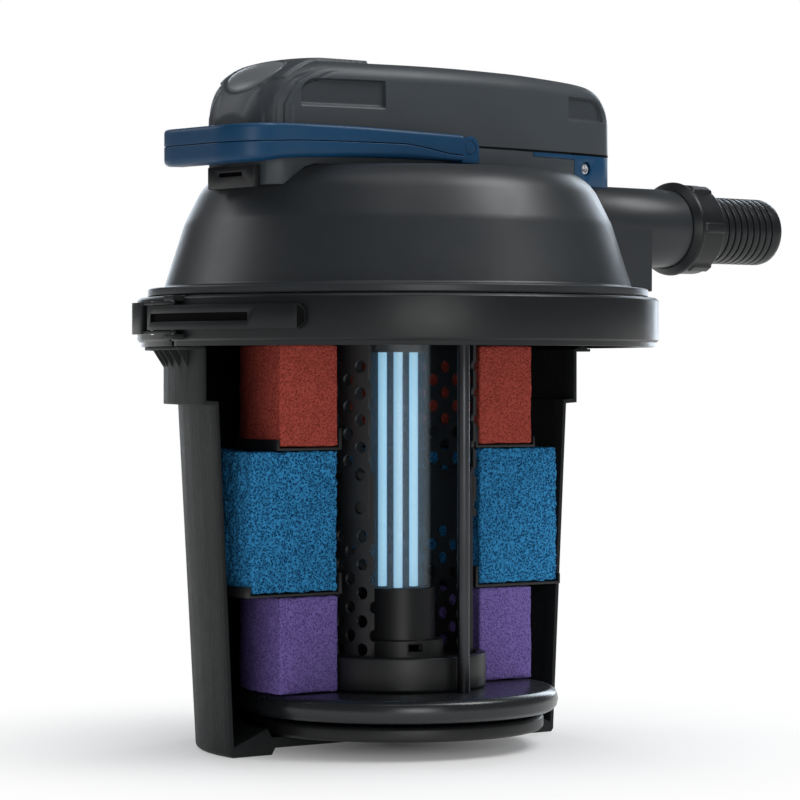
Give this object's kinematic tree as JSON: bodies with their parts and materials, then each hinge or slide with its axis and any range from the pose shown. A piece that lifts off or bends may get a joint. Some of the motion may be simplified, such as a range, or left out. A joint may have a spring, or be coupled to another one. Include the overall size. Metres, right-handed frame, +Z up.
{
  "type": "canister filter",
  "caption": "Round pond canister filter with a cut-open tank: stacked foams, perforated centre tube, lamp, clamp band, pull handle and ribbed hose outlet.",
  "frame": {"origin": "centre of the overall box in X and Y, on the floor", "axes": "+Z up; +X along the hose outlet; the open side of the tank faces -Y; the tank's axis is at X = -0.0965"},
  "size_m": [0.601, 0.39, 0.5069],
  "materials": {
    "black_plastic": "satin",
    "grey_plastic": "satin",
    "blue_plastic": "satin",
    "steel": "polished",
    "rod_steel": "satin",
    "rubber": "matte",
    "glass": "clear",
    "lens": "gloss",
    "foam_red": "open-cell",
    "foam_blue": "open-cell",
    "foam_purple": "open-cell"
  },
  "bodies": {
    "tank_body": {"tank": "black_plastic", "clamp_band": "black_plastic", "link_pin_upper": "steel", "link_pin_lower": "steel"},
    "link_body": {"clamp_link": "black_plastic", "lever_pin": "steel"},
    "lever_body": {"clamp_lever": "black_plastic"},
    "lid_body": {"lid": "black_plastic", "lid_gasket": "rubber", "outlet_seal": "rubber", "hose_tail": "black_plastic", "head_base": "grey_plastic", "head_cover": "grey_plastic", "window_lens": "lens", "rear_bracket": "blue_plastic", "bracket_screw_left": "steel", "bracket_screw_right": "steel", "front_catch": "black_plastic", "rod_seal_left": "rubber", "rod_seal_right": "rubber", "top_plate": "black_plastic", "cage_upper": "black_plastic", "quartz_sleeve": "glass", "quartz_seal": "rubber", "lamp_glass": "glass", "lamp_tube_1": "glass", "lamp_tube_2": "glass", "lamp_tube_3": "glass", "lamp_base": "black_plastic", "ballast": "grey_plastic", "foam_red": "foam_red"},
    "nut_body": {"union_nut": "black_plastic"},
    "pull_body": {"pull_rod_left": "rod_steel", "pull_rod_right": "rod_steel", "pull_ear_left": "blue_plastic", "pull_ear_right": "blue_plastic", "pivot_pin_left": "blue_plastic", "pivot_pin_right": "blue_plastic", "cup": "black_plastic", "guide_sleeve": "black_plastic", "cage_lower": "black_plastic", "base_plate": "black_plastic", "lower_disc": "black_plastic"},
    "handle_body": {"handle_upper": "blue_plastic", "handle_lower": "blue_plastic"},
    "spacer_upper_body": {"spacer_upper": "black_plastic", "foam_blue": "foam_blue"},
    "spacer_lower_body": {"spacer_lower": "black_plastic", "foam_purple": "foam_purple"}
  },
  "joints": [
    {"name": "lid_lift", "type": "slide", "parent": "tank_body", "child": "lid_body", "axis": [0, 0, 1], "range_m": [0, 0.33]},
    {"name": "clamp_link_hinge", "type": "hinge", "parent": "tank_body", "child": "link_body", "pos_m": [-0.2957, 0.01568, 0.318], "axis": [0, 0, 1], "range_deg": [0, 24.2]},
    {"name": "clamp_lever_hinge", "type": "hinge", "parent": "link_body", "child": "lever_body", "pos_m": [-0.29096, 0.04595, 0.318], "axis": [0, 0, -1], "range_deg": [0, 120]},
    {"name": "nut_turn", "type": "hinge", "parent": "lid_body", "child": "nut_body", "pos_m": [0.21048, 0, 0.395], "axis": [1, 0, 0], "continuous": true},
    {"name": "pull_slide", "type": "slide", "parent": "lid_body", "child": "pull_body", "axis": [0, 0, 1], "range_m": [0, 0.045], "deforming": ["foam_red", "foam_blue", "foam_purple"]},
    {"name": "spacer_upper_slide", "type": "slide", "parent": "lid_body", "child": "spacer_upper_body", "axis": [0, 0, 1], "range_m": [0, 0.0136]},
    {"name": "spacer_lower_slide", "type": "slide", "parent": "lid_body", "child": "spacer_lower_body", "axis": [0, 0, 1], "range_m": [0, 0.0323]},
    {"name": "handle_tilt", "type": "hinge", "parent": "pull_body", "child": "handle_body", "pos_m": [-0.09652, 0, 0.443], "axis": [0, 1, 0], "range_deg": [0, 90]}
  ],
  "couplings": [
    {"joint": "clamp_link_hinge", "follows": "clamp_lever_hinge", "ratio": 0.2},
    {"joint": "spacer_upper_slide", "follows": "pull_slide", "ratio": 0.3},
    {"joint": "spacer_lower_slide", "follows": "pull_slide", "ratio": 0.716}
  ]
}
